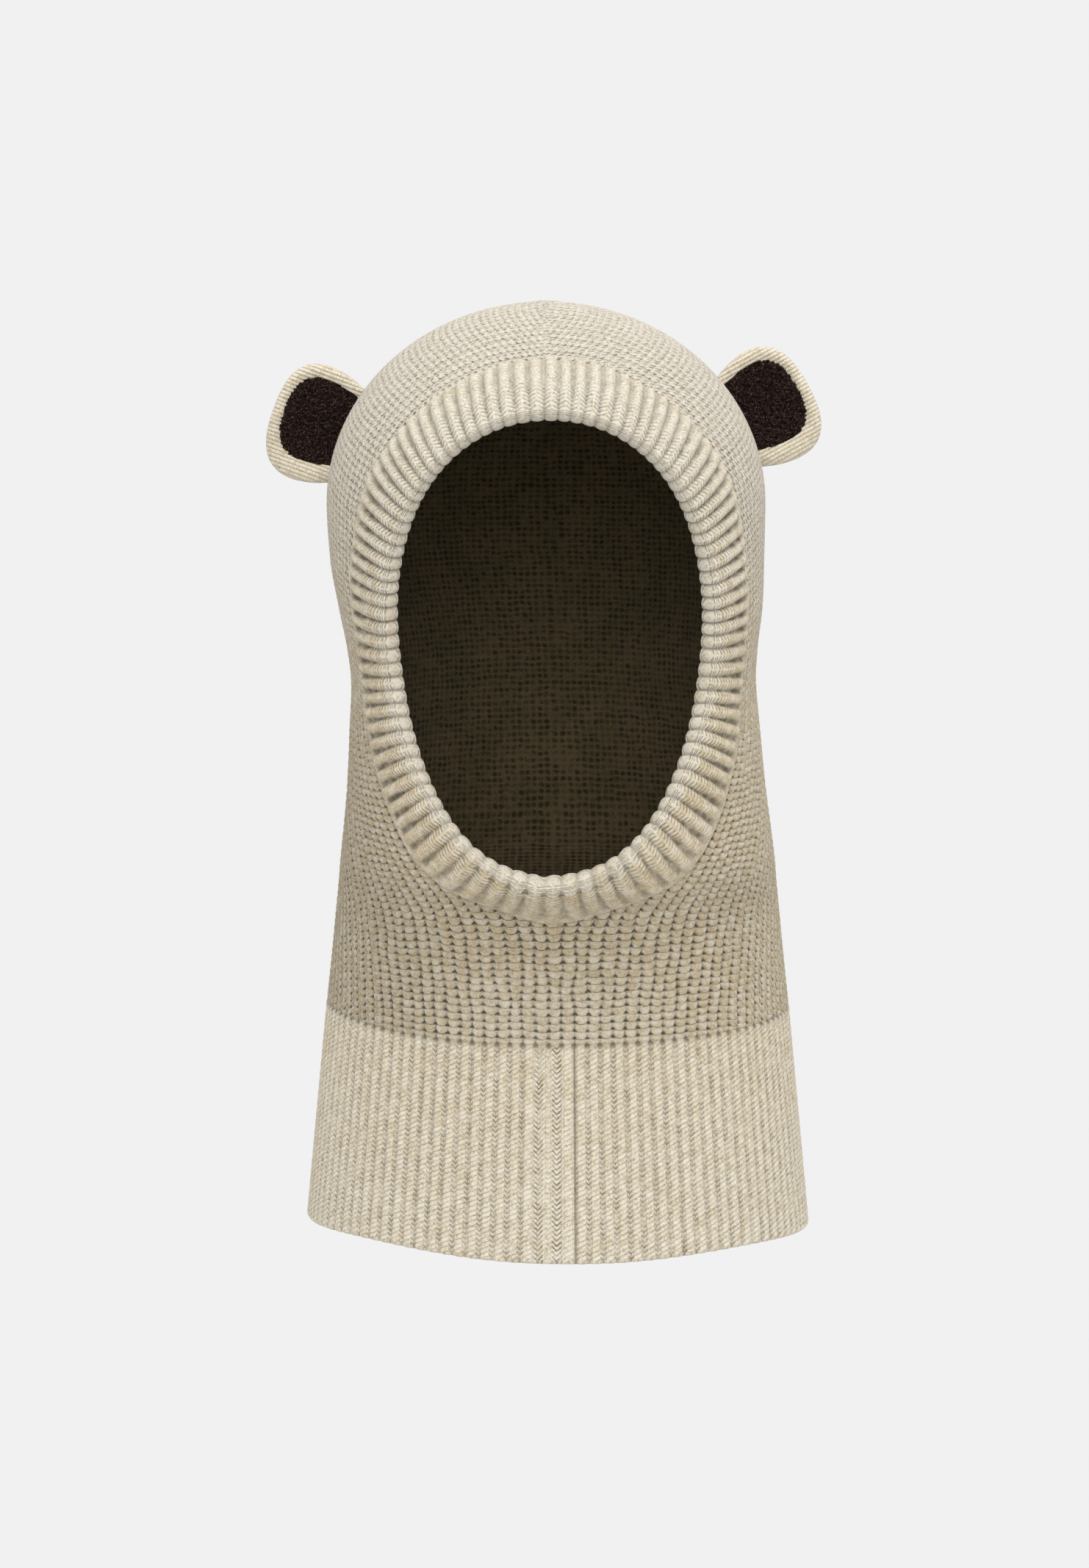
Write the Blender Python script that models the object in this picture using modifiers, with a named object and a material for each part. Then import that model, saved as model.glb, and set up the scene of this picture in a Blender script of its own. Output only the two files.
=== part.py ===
"""Baby balaclava with two round ears, knitted in wool, in the form that it has when worn.

Metres, +Z up, the face towards -Y, the wearer's left towards +X. The origin is the top of the
inside, where the crown of the head touches it. A point of the hood is given by its angle round
the head, 0 at the middle of the face and growing towards +X, and by its drop below the crown.
"""

import math

import bmesh
import bpy
import numpy as np

# The hood, over the outside of the knit
HEAD_WIDTH = 0.145
FACE_DEPTH = 0.080
BACK_DEPTH = 0.084
CROWN_HEIGHT = 0.066
NECK_DROP = 0.172
NECK_LEAN = 0.004

# How square the sections are: 2 is an ellipse, more is fuller
FRONT_POWER = 2.25
BACK_POWER = 2.1
CROWN_WIDTH_POWER = 2.0
CROWN_FRONT_POWER = 2.2
CROWN_BACK_POWER = 2.1

# The ribbed hem, which the neck widens into
HEM_HEIGHT = 0.0685
HEM_WIDTH = 0.169
HEM_FRONT = 0.076
HEM_BACK = 0.075
HEM_WALL = 0.0035
HEM_RIBS = 112
HEM_RIB_DEPTH = 0.0007
HEM_ROLL = 0.0012
HEM_TILT = 0.0014
HEM_WAVE = 0.0026

# Cloth walls, and the gap that pieces keep
KNIT_WALL = 0.003
LINING_WALL = 0.0015
CLEARANCE = 0.0003

# The face opening, as the lip of its band shows it from the front
LIP_WIDTH = 0.1026
LIP_TOP = 0.0373
LIP_WIDEST = 0.102
LIP_BOTTOM = 0.1838
LIP_SIDEWAYS = 0.0012
LIP_TOP_POWER = 2.1
LIP_BOTTOM_POWER = 1.96
RIB_FAN_DROP = 0.112

# The ribbed band round the face
BAND_WIDTH = 0.0225
BAND_RISE = 0.0026
BAND_NARROWING = 0.16
BAND_RIBS = 92
BAND_RIB_DEPTH = 0.0013

# The ears, and the dark patch let into the front of each
EAR_WIDTH = 0.0395
EAR_REACH = 0.0239
EAR_SHOULDER = 0.0095
EAR_ROOT = 0.010
EAR_THICKNESS = 0.0052
EAR_SETBACK = 0.004
EAR_CUP = 0.0015
EAR_POWER = 2.6
EAR_BASE_NARROWING = 0.06
PATCH_WIDTH = 0.0288
PATCH_REACH = 0.0208
PATCH_RAISE = 0.0012
PATCH_THICKNESS = 0.0024
PATCH_POCKET = 0.0012

# How finely the forms are cut into facets
HOOD_SIDES = 28
CROWN_STEPS = 5
EAR_SIDES = 22
BAND_MARCH_STEPS = 60
BAND_MARCH_REACH = 0.6
ARC_SAMPLES = 720
EVENING_STEPS = 5
CUTTER_HALF_DEPTH = 0.012
CUTTER_TIP_AHEAD = 0.080
CUTTER_TIP_BEHIND = 0.030
SEAM_ALLOWANCE = 0.003
SEAM_BLOCK = 0.020

# Sections of the neck from the widest ring down to the hem's seam. Each number is a share:
# drop of NECK_DROP, width of HEAD_WIDTH, front of FACE_DEPTH, back of BACK_DEPTH, lean of NECK_LEAN.
NECK_COLUMNS = ("drop", "width", "front", "back", "lean")
NECK_ROWS = (
    (0.00, 1.000, 0.940, 1.000, 0.00),
    (0.11, 0.990, 0.958, 0.985, 0.10),
    (0.20, 0.968, 0.972, 0.940, 0.38),
    (0.28, 0.938, 0.984, 0.880, 0.53),
    (0.34, 0.926, 0.992, 0.830, 0.62),
    (0.45, 0.942, 1.005, 0.755, 0.75),
    (0.54, 0.958, 1.012, 0.718, 0.85),
    (0.63, 0.982, 1.004, 0.693, 0.94),
    (0.69, 0.999, 0.938, 0.686, 0.97),
    (0.72, 1.005, 0.856, 0.686, 0.97),
    (0.755, 1.013, 0.766, 0.688, 0.97),
    (0.80, 1.024, 0.730, 0.692, 0.97),
    (0.88, 1.043, 0.748, 0.712, 0.97),
    (1.00, 1.074, 0.812, 0.756, 0.97),
)

# The band's cross-section: across from the lip as a share of BAND_WIDTH, height over the hood's
# surface as shares of BAND_RISE and of the wall below it, and the share of BAND_RIB_DEPTH there.
BAND_COLUMNS = ("across", "rise", "sink", "rib")
BAND_ROWS = (
    (0.00, 0.00, 0.35, 0.6),
    (0.05, 0.70, 0.00, 0.8),
    (0.30, 1.00, 0.00, 1.0),
    (0.75, 0.90, 0.00, 1.0),
    (1.00, 0.15, 0.00, 0.1),
    (1.00, 0.00, 1.00, 0.0),
    (0.05, 0.00, 0.95, 0.3),
)

# Each ear: its name, the side of the head, the drop of its root and its upward tilt in degrees.
EARS = (
    ("ear_right", -1, 0.0433, 20.0),
    ("ear_left", 1, 0.0388, 29.0),
)

# An ear's cross-section from the middle of its front to the middle of its back: the share of the
# outline's size, and the share of half the thickness.
EAR_PROFILE = ((0.0, 1.0), (0.86, 1.0), (0.97, 0.62), (1.0, 0.0), (0.97, -0.62), (0.86, -1.0), (0.0, -1.0))
PATCH_PROFILE = ((0.0, 1.0), (0.90, 1.0), (1.0, 0.55), (1.0, -1.0), (0.0, -1.0))

BEIGE = (0.62, 0.54, 0.40, 1.0)
DARK_BROWN = (0.035, 0.024, 0.020, 1.0)
OLIVE_BROWN = (0.032, 0.026, 0.014, 1.0)

LINED_WALL = KNIT_WALL + CLEARANCE + LINING_WALL
SEAM_DROP = CROWN_HEIGHT + NECK_DROP
NECK = dict(zip(NECK_COLUMNS, np.array(NECK_ROWS).T))
BAND = dict(zip(BAND_COLUMNS, np.array(BAND_ROWS).T))


def power_wave(wave, power):
    """A sine or cosine bent so that the pair of them draws a superellipse."""
    return np.sign(wave) * np.abs(wave) ** (2 / power)


def dome(height, power):
    """The half width, as a share, of a superellipse at a share of its height."""
    return np.clip(1 - np.clip(height, 0, 1) ** power, 0, 1) ** (1 / power)


def through_rows(x, knots, values):
    """A cubic through a table's rows that never swings past them, level at the first row."""
    steps = np.diff(knots)
    slopes = np.diff(values) / steps
    tangents = np.zeros(len(knots))
    agree = slopes[:-1] * slopes[1:] > 0
    tangents[1:-1][agree] = 2 / (1 / slopes[:-1][agree] + 1 / slopes[1:][agree])
    tangents[-1] = slopes[-1]
    row = np.clip(np.searchsorted(knots, x, side="right") - 1, 0, len(steps) - 1)
    t = np.clip((x - knots[row]) / steps[row], 0, 1)
    bend = tangents[row] * t * (1 - t) ** 2 - tangents[row + 1] * t**2 * (1 - t)
    return values[row] + (values[row + 1] - values[row]) * t**2 * (3 - 2 * t) + steps[row] * bend


def ring_sizes(drop):
    """Half width, front depth, back depth and sideways lean of the outside at a drop."""
    height = 1 - drop / CROWN_HEIGHT
    down = (drop - CROWN_HEIGHT) / NECK_DROP
    flare = np.clip((drop - SEAM_DROP) / HEM_HEIGHT, 0, 1)
    above = drop < CROWN_HEIGHT

    def size(column, unit, power, at_hem):
        neck = unit * through_rows(down, NECK["drop"], NECK[column])
        crown = unit * NECK[column][0] * dome(height, power)
        return np.where(above, crown, neck + (at_hem - neck) * flare)

    width = size("width", HEAD_WIDTH / 2, CROWN_WIDTH_POWER, HEM_WIDTH / 2)
    front = size("front", FACE_DEPTH, CROWN_FRONT_POWER, HEM_FRONT)
    back = size("back", BACK_DEPTH, CROWN_BACK_POWER, HEM_BACK)
    lean = np.where(above, 0, NECK_LEAN * through_rows(down, NECK["drop"], NECK["lean"]))
    return width, front, back, lean


def surface(angle, drop):
    """Points of the hood's outside: superelliptic rings, deeper at the back than at the front."""
    angle, drop = np.broadcast_arrays(np.asarray(angle, float), np.asarray(drop, float))
    width, front, back, lean = ring_sizes(drop)
    sine, cosine = np.sin(angle), np.cos(angle)
    ahead = cosine > 0
    x = np.where(ahead, power_wave(sine, FRONT_POWER), power_wave(sine, BACK_POWER)) * width + lean
    y = np.where(ahead, -front * power_wave(cosine, FRONT_POWER), -back * power_wave(cosine, BACK_POWER))
    return np.stack([x, y, LINED_WALL - drop], axis=-1)


def surface_normal(angle, drop):
    """Outward normals, from the cross product of the surface's two slopes over about a stitch."""
    turn, fall = 0.03, 0.002
    down = surface(angle, drop + fall) - surface(angle, drop - fall)
    across = surface(angle + turn, drop) - surface(angle - turn, drop)
    normal = np.cross(down, across)
    return normal / np.linalg.norm(normal, axis=-1, keepdims=True)


def skin(name, rings, wrap=False, tips=None):
    """A mesh through rings of points. Wrap joins the last ring to the first; tips are end points."""
    rings = np.asarray(rings, float)
    mesh = bpy.data.meshes.new(name)
    bm = bmesh.new()
    verts = [[bm.verts.new(point) for point in ring] for ring in rings]
    count, sides = len(rings), len(rings[0])
    for row in range(count if wrap else count - 1):
        upper, lower = verts[row], verts[(row + 1) % count]
        for side in range(sides):
            after = (side + 1) % sides
            bm.faces.new((upper[side], lower[side], lower[after], upper[after]))
    if tips is not None:
        for loop, tip in zip((verts[0], verts[-1]), tips):
            middle = bm.verts.new(tip)
            for side in range(sides):
                bm.faces.new((loop[side], loop[(side + 1) % sides], middle))
    bmesh.ops.remove_doubles(bm, verts=bm.verts, dist=1e-6)
    bmesh.ops.dissolve_degenerate(bm, edges=bm.edges, dist=1e-7)
    if wrap or tips is not None:
        bmesh.ops.recalc_face_normals(bm, faces=bm.faces)
    bm.to_mesh(mesh)
    bm.free()
    return bpy.data.objects.new(name, mesh)


def finish(obj, material, collection):
    """Puts a piece into its collection with its material and smooth shading."""
    collection.objects.link(obj)
    obj.data.materials.append(material)
    obj.data.shade_smooth()
    obj.data.set_sharp_from_angle(angle=math.radians(40))
    return obj


def hide_cutter(obj, collection):
    """A cutter shapes other pieces and isn't one itself."""
    collection.objects.link(obj)
    obj.hide_render = True
    obj.display_type = "WIRE"
    return obj


def cut(obj, cutter):
    """Takes a cutter's shape away from a piece."""
    modifier = obj.modifiers.new("cut by " + cutter.name, "BOOLEAN")
    modifier.operation = "DIFFERENCE"
    modifier.object = cutter


def give_wall(obj, thickness):
    """Thickens an open surface inwards into cloth."""
    modifier = obj.modifiers.new("wall", "SOLIDIFY")
    modifier.thickness = thickness
    modifier.offset = -1


def make_material(name, colour, roughness):
    """A plain matt cloth colour."""
    material = bpy.data.materials.new(name)
    material.use_nodes = True
    shader = material.node_tree.nodes["Principled BSDF"]
    shader.inputs["Base Color"].default_value = colour
    shader.inputs["Roughness"].default_value = roughness
    shader.inputs["Metallic"].default_value = 0.0
    return material


def hood_rings():
    """The hood's outside as rings from the crown's top to a little below the hem's seam."""
    turns = np.linspace(0, math.pi / 2, CROWN_STEPS + 1)
    crown = CROWN_HEIGHT * (1 - np.cos(turns))
    neck = CROWN_HEIGHT + NECK_DROP * NECK["drop"][1:]
    neck = np.append(neck, SEAM_DROP + SEAM_ALLOWANCE)
    drops = np.concatenate([crown, neck])
    angles = np.linspace(0, 2 * math.pi, HOOD_SIDES, endpoint=False)
    return surface(angles[None, :], drops[:, None])


def moved_along_normals(obj, name, distance):
    """A copy of a surface with every point moved along its normal."""
    mesh = obj.data.copy()
    mesh.name = name
    moved = [vert.co + vert.normal * distance for vert in obj.data.vertices]
    for vert, place in zip(mesh.vertices, moved):
        vert.co = place
    return bpy.data.objects.new(name, mesh)


def lip_outline(turn):
    """Angle and drop of the band's lip: an egg, fuller above, at a turn that is 0 at its top."""
    sine, cosine = np.sin(turn), np.cos(turn)
    upper = cosine > 0
    across = np.where(upper, power_wave(sine, LIP_TOP_POWER), power_wave(sine, LIP_BOTTOM_POWER))
    rise = (LIP_WIDEST - LIP_TOP) * power_wave(cosine, LIP_TOP_POWER)
    fall = (LIP_BOTTOM - LIP_WIDEST) * power_wave(cosine, LIP_BOTTOM_POWER)
    drop = LIP_WIDEST - np.where(upper, rise, fall)
    width, _, _, lean = ring_sizes(drop)
    share = (LIP_SIDEWAYS + across * LIP_WIDTH / 2 - lean) / width
    angle = np.arcsin(np.clip(np.sign(share) * np.abs(share) ** (FRONT_POWER / 2), -1, 1))
    return angle, drop


def from_lip(turn, distance):
    """Angle and drop of the point this far outwards from the lip, measured along the surface.

    All distances are a little shorter at the lower corner on the wearer's right, which tucks in.
    """
    tuck = np.maximum(-np.sin(turn), 0) * np.maximum(-np.cos(turn), 0)
    distance = distance * (1 - 2 * BAND_NARROWING * tuck)
    lip_angle, lip_drop = lip_outline(turn)
    reach = 1 + np.linspace(0, BAND_MARCH_REACH, BAND_MARCH_STEPS)[:, None]
    angles = lip_angle * reach
    drops = np.maximum(RIB_FAN_DROP + (lip_drop - RIB_FAN_DROP) * reach, 0)
    steps = np.linalg.norm(np.diff(surface(angles, drops), axis=0), axis=-1)
    walked = np.concatenate([np.zeros((1, steps.shape[1])), np.cumsum(steps, axis=0)])
    share = np.array([np.interp(distance[i], walked[:, i], reach[:, 0]) for i in range(len(turn))])
    return lip_angle * share, np.maximum(RIB_FAN_DROP + (lip_drop - RIB_FAN_DROP) * share, 0)


def band_normals(turns, distance):
    """Normals at a distance from the lip, evened out along the band so that its walls don't twist."""
    normals = surface_normal(*from_lip(turns, distance))
    evened = sum(np.roll(normals, step, axis=0) for step in range(-EVENING_STEPS, EVENING_STEPS + 1))
    return evened / np.linalg.norm(evened, axis=1, keepdims=True)


def even_turns(count):
    """Turns round the face that are evenly spaced along the middle of the band."""
    turns = np.linspace(0, 2 * math.pi, ARC_SAMPLES + 1)
    middle = surface(*from_lip(turns, BAND_WIDTH / 2))
    length = np.concatenate([[0], np.cumsum(np.linalg.norm(np.diff(middle, axis=0), axis=1))])
    return np.interp(np.arange(count) * length[-1] / count, length, turns)


def make_band(material, collection):
    """The folded rib band round the face: its section is carried round the lip, ribs across it."""
    turns = even_turns(2 * BAND_RIBS)
    ridge = np.where(np.arange(2 * BAND_RIBS) % 2 == 0, 1.0, -1.0)
    rings = []
    for across, rise, sink, rib in zip(*(BAND[column] for column in BAND_COLUMNS)):
        angle, drop = from_lip(turns, across * BAND_WIDTH)
        height = rise * BAND_RISE - sink * LINED_WALL + rib * ridge * BAND_RIB_DEPTH / 2
        rings.append(surface(angle, drop) + height[:, None] * band_normals(turns, across * BAND_WIDTH))
    return finish(skin("face_band", rings, wrap=True), material, collection)


def make_face_cutter(collection):
    """The plug that opens the hood and its lining, a clearance outside the band."""
    turns = even_turns(2 * BAND_RIBS)
    normal = band_normals(turns, BAND_WIDTH)
    edge = surface(*from_lip(turns, BAND_WIDTH + CLEARANCE))
    rings = [edge + CUTTER_HALF_DEPTH * normal, edge - CUTTER_HALF_DEPTH * normal]
    middle = edge.mean(axis=0)
    tips = [middle - (0, CUTTER_TIP_AHEAD, 0), middle + (0, CUTTER_TIP_BEHIND, 0)]
    return hide_cutter(skin("face_cutter", rings, tips=tips), collection)


def make_seam_cutter(collection):
    """The block that cuts the hood and its lining level at the hem's seam."""
    width, depth = 2 * HEM_WIDTH, 4 * HEM_FRONT
    bpy.ops.mesh.primitive_cube_add(size=1, location=(0, 0, LINED_WALL - SEAM_DROP - SEAM_BLOCK / 2))
    block = bpy.context.object
    block.name = "seam_cutter"
    block.scale = (width, depth, SEAM_BLOCK)
    for group in list(block.users_collection):
        group.objects.unlink(block)
    return hide_cutter(block, collection)


def make_hem(material, collection):
    """The ribbed hem, a closed section carried round the neck a clearance below its seam."""
    angles = np.linspace(0, 2 * math.pi, 2 * HEM_RIBS, endpoint=False)
    top = np.full_like(angles, SEAM_DROP + CLEARANCE)
    bottom = SEAM_DROP + HEM_HEIGHT + HEM_TILT * np.sin(angles) - HEM_WAVE * np.sin(2 * angles) ** 2
    ridge = np.where(np.arange(2 * HEM_RIBS) % 2 == 0, 0.0, -1.0)
    # drop, depth below the outside, and whether the ribs show there
    section = (
        (top, 0.0, 1.0),
        (bottom - HEM_ROLL, 0.0, 1.0),
        (bottom, HEM_ROLL, 0.0),
        (bottom, HEM_WALL, 0.0),
        (top, HEM_WALL, 0.0),
    )
    rings = []
    for drop, depth, rib in section:
        inwards = depth - rib * ridge * HEM_RIB_DEPTH
        normal = surface_normal(angles, drop)
        normal[:, 2] = 0
        normal /= np.linalg.norm(normal, axis=1, keepdims=True)
        rings.append(surface(angles, drop) - inwards[:, None] * normal)
    return finish(skin("hem_band", rings, wrap=True), material, collection)


def ear_frame(side, drop, tilt):
    """Root point on the hood, and the ear's outward, upward and forward directions."""
    root = surface(side * math.pi / 2, drop)
    lift = math.radians(tilt)
    outward = np.array([side * math.cos(lift), 0, math.sin(lift)])
    upward = np.array([-side * math.sin(lift), 0, math.cos(lift)])
    return root, outward, upward, np.array([0, -1.0, 0])


def ear_disc(name, frame, half_width, reach, profile, half_thickness, forward_by, raise_by=0.0, cup=0.0):
    """A rounded disc: a superellipse that runs into the head below, with a rounded rim."""
    root, outward, upward, forward = frame
    turns = np.linspace(0, 2 * math.pi, EAR_SIDES, endpoint=False)
    shoulder = EAR_SHOULDER
    out = power_wave(np.sin(turns), EAR_POWER)
    out = out * np.where(out > 0, reach - shoulder, EAR_ROOT + shoulder)
    narrowing = 1 - EAR_BASE_NARROWING * np.clip(-out / shoulder, 0, 1)
    up = power_wave(np.cos(turns), EAR_POWER) * half_width * narrowing
    rings = []
    for size, height in profile:
        ahead = forward_by + height * half_thickness + cup * size**2
        place = root + np.outer(shoulder + out * size, outward) + np.outer(raise_by + up * size, upward)
        rings.append(place + ahead * forward)
    return skin(name, rings)


def close_ends(obj):
    """Turns a disc whose ends have shrunk to points into an outward-facing closed mesh."""
    bm = bmesh.new()
    bm.from_mesh(obj.data)
    bmesh.ops.recalc_face_normals(bm, faces=bm.faces)
    bm.to_mesh(obj.data)
    bm.free()
    return obj


def make_ear(row, envelope, materials, collection, cutters):
    """One ear: a padded knit shell on the hood, and a dark patch in a shallow pocket in its front."""
    name, side, drop, tilt = row
    frame = ear_frame(side, drop, tilt)
    half = EAR_THICKNESS / 2
    shell = close_ends(
        ear_disc(name, frame, EAR_WIDTH / 2, EAR_REACH, EAR_PROFILE, half, -EAR_SETBACK, cup=EAR_CUP)
    )
    floor = half - PATCH_POCKET - EAR_SETBACK
    pocket = close_ends(
        ear_disc(
            name + "_pocket",
            frame,
            PATCH_WIDTH / 2 + CLEARANCE,
            PATCH_REACH + CLEARANCE,
            ((0.0, 1.0), (1.0, 1.0), (1.0, 0.0), (0.0, 0.0)),
            EAR_THICKNESS,
            floor,
            PATCH_RAISE,
            EAR_CUP,
        )
    )
    middle = floor + CLEARANCE + PATCH_THICKNESS / 2
    patch = close_ends(
        ear_disc(
            name + "_patch",
            frame,
            PATCH_WIDTH / 2,
            PATCH_REACH,
            PATCH_PROFILE,
            PATCH_THICKNESS / 2,
            middle,
            PATCH_RAISE,
            EAR_CUP,
        )
    )
    hide_cutter(pocket, cutters)
    cut(shell, envelope)
    cut(shell, pocket)
    cut(patch, envelope)
    finish(shell, materials["knit"], collection)
    finish(patch, materials["patch"], collection)


def main():
    for obj in list(bpy.data.objects):
        bpy.data.objects.remove(obj)
    collection = bpy.data.collections.new("baby_balaclava_with_ears")
    cutters = bpy.data.collections.new("cutters")
    for group in (collection, cutters):
        bpy.context.scene.collection.children.link(group)
    materials = {
        "knit": make_material("beige_knit", BEIGE, 0.95),
        "patch": make_material("dark_brown_boucle", DARK_BROWN, 0.97),
        "lining": make_material("olive_brown_lining", OLIVE_BROWN, 0.95),
    }

    rings = hood_rings()
    hood = skin("hood_knit", rings)
    lining = moved_along_normals(hood, "lining_knit", -(KNIT_WALL + CLEARANCE))
    solid_hood = skin("hood_envelope_form", rings)
    envelope = moved_along_normals(solid_hood, "hood_envelope", CLEARANCE)
    bpy.data.objects.remove(solid_hood)
    close_bottom(envelope)
    hide_cutter(envelope, cutters)

    face_cutter = make_face_cutter(cutters)
    seam_cutter = make_seam_cutter(cutters)
    for obj, wall, material in ((hood, KNIT_WALL, "knit"), (lining, LINING_WALL, "lining")):
        give_wall(obj, wall)
        cut(obj, face_cutter)
        cut(obj, seam_cutter)
        finish(obj, materials[material], collection)

    make_band(materials["knit"], collection)
    make_hem(materials["knit"], collection)
    for row in EARS:
        make_ear(row, envelope, materials, collection, cutters)


def close_bottom(obj):
    """Fills the open end of a surface with one flat face."""
    bm = bmesh.new()
    bm.from_mesh(obj.data)
    rim = [edge for edge in bm.edges if edge.is_boundary]
    bmesh.ops.contextual_create(bm, geom=rim)
    bmesh.ops.recalc_face_normals(bm, faces=bm.faces)
    bm.to_mesh(obj.data)
    bm.free()


main()
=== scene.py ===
import math
from functools import partialmethod

import bpy
import numpy as np
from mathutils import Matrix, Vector


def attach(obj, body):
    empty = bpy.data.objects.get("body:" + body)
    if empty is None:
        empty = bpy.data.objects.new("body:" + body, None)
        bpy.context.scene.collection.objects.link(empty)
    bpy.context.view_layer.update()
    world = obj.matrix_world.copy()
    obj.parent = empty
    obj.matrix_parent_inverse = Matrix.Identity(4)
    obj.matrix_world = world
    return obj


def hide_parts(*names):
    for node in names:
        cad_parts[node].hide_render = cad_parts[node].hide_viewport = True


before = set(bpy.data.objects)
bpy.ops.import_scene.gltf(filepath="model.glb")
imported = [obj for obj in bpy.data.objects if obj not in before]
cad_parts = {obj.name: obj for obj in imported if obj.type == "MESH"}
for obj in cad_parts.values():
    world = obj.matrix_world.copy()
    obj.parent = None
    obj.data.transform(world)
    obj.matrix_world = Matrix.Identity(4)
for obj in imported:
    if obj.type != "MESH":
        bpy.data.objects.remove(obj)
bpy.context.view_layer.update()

# A knitted balaclava with ears, dressed over its solids. Metres, +Z up, the face towards -Y, the
# wearer's left at +X. A point of the hood is given by its angle round the head, 0 at the middle of
# the face and growing to the left, and its drop below the crown. u and v count columns and rows.

# ---------- sizes, repeated from the solids' source
HEAD_WIDTH, FACE_DEPTH, BACK_DEPTH = 0.145, 0.080, 0.084
CROWN_HEIGHT, NECK_DROP, NECK_LEAN = 0.066, 0.172, 0.004
FRONT_POWER, BACK_POWER = 2.25, 2.1
CROWN_WIDTH_POWER, CROWN_FRONT_POWER, CROWN_BACK_POWER = 2.0, 2.2, 2.1
HEM_HEIGHT, HEM_WIDTH, HEM_FRONT, HEM_BACK, HEM_WALL = 0.0685, 0.169, 0.076, 0.075, 0.0035
HEM_TILT, HEM_WAVE = 0.0014, 0.0026
KNIT_WALL, LINING_WALL, CLEARANCE = 0.003, 0.0015, 0.0003
LINED_WALL = KNIT_WALL + CLEARANCE + LINING_WALL
LIP_WIDTH, LIP_SIDEWAYS = 0.1026, 0.0012
LIP_TOP, LIP_WIDEST, LIP_BOTTOM = 0.0373, 0.102, 0.1838
LIP_TOP_POWER, LIP_BOTTOM_POWER, RIB_FAN_DROP = 2.1, 1.96, 0.112
BAND_WIDTH, BAND_NARROWING, BAND_RIBS = 0.0225, 0.16, 92
EAR_WIDTH, EAR_REACH, EAR_SHOULDER, EAR_ROOT = 0.0395, 0.0239, 0.0095, 0.010
EAR_THICKNESS, EAR_SETBACK, EAR_CUP = 0.0052, 0.004, 0.0015
EAR_POWER, EAR_BASE_NARROWING = 2.6, 0.06
PATCH_WIDTH, PATCH_REACH, PATCH_RAISE = 0.0288, 0.0208, 0.0012
SEAM_DROP = CROWN_HEIGHT + NECK_DROP
# name, side of the head, drop of the root, upward tilt in degrees
EARS = (("ear_right", -1, 0.0433, 20.0), ("ear_left", 1, 0.0388, 29.0))
# Sections of the neck: drop, width, front, back and lean, as shares
NECK_ROWS = np.array((
    (0.00, 1.000, 0.940, 1.000, 0.00), (0.11, 0.990, 0.958, 0.985, 0.10),
    (0.20, 0.968, 0.972, 0.940, 0.38), (0.28, 0.938, 0.984, 0.880, 0.53),
    (0.34, 0.926, 0.992, 0.830, 0.62), (0.45, 0.942, 1.005, 0.755, 0.75),
    (0.54, 0.958, 1.012, 0.718, 0.85), (0.63, 0.982, 1.004, 0.693, 0.94),
    (0.69, 0.999, 0.938, 0.686, 0.97), (0.72, 1.005, 0.856, 0.686, 0.97),
    (0.755, 1.013, 0.766, 0.688, 0.97), (0.80, 1.024, 0.730, 0.692, 0.97),
    (0.88, 1.043, 0.748, 0.712, 0.97), (1.00, 1.074, 0.812, 0.756, 0.97),
))

# ---------- the knit
COLUMNS = 110  # stitch columns round the neck
COLUMN_OFFSET = 0.25  # columns from the front's middle to the middle of column 0
PIECE_SPLIT = 24.5  # columns each side of the middle in the neck's front piece
STITCH_ROW = 0.00235  # height of a row
SMILE = 0.28  # how far a stitch's ends curve up, in rows
STAGGER = 0.5  # rows by which every second column is shifted
STAGGER_FROM, STAGGER_TO = 11, 20  # columns from the middle where that comes in
STAGGER_LOW, STAGGER_HIGH = 32, 50  # rows over the hem where it comes in on the front
STRAY_DOWN, STRAY_ROUND = 0.0004, 0.006  # how far stitches stray, in metres and radians
COLUMN_SAMPLES, ROW_SAMPLES = 5, 4  # mesh lines in each column and row of the neck
COLUMN_RELIEF, ROW_RELIEF, DIMPLE = 0.0007, 0.0007, 0.0008  # heights, and a hole's depth
UNDER_BAND = 0.0012  # how far the knit sinks under the face band
BAND_ROWS = 17  # rows of stitches across the face band
LIP_ROWS, LIP_ROLL = 1.8, 0.07  # rows added on the roll over the lip, and its share across
BAND_SEAM = math.pi + 0.05  # turn at which the face band is joined
V_SLANT = 1.2  # rows by which a rib's V stitches fall off to its edges
CUT_SHARE = 0.45  # share of the face band's width up to which the cloth under it is cut away
LOOP_SAMPLES = 720  # points on a loop round the face
SEAM_LAP = 0.0009  # how far hem and neck go past each other at their seam
LINING_ROW = 0.0021  # height of a row of the lining
EAR_LINE, PATCH_GRAIN = 0.0013, 0.001  # pitch of the ear's lines, unit of its patch's UVs

# How the face band's ribs are unevenly spaced: radians, waves round the face, start
UNEVEN_RIBS = ((0.005, 5, 1), (0.003, 13, 2), (0.001, 29, 0))
# How far the front columns swing aside to pass the face: drop, degrees
SWING = np.array(((0.066, 45), (0.090, 49), (0.112, 50), (0.130, 46.5), (0.150, 37), (0.165, 26),
                  (0.180, 13), (0.190, 5.0), (0.198, 1.0), (0.207, 0), (0.238, 0)))
SPREAD = 8.0  # degrees that columns beside the middle lean out above the hem


def power_wave(wave, power):
    """A sine or cosine bent so that the pair of them draws a superellipse."""
    return np.sign(wave) * np.abs(wave) ** (2 / power)


def dome(height, power):
    """Half width share of a superellipse at a share of its height: (1 - h^p)^(1/p)."""
    return np.clip(1 - np.clip(height, 0, 1) ** power, 0, 1) ** (1 / power)


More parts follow.
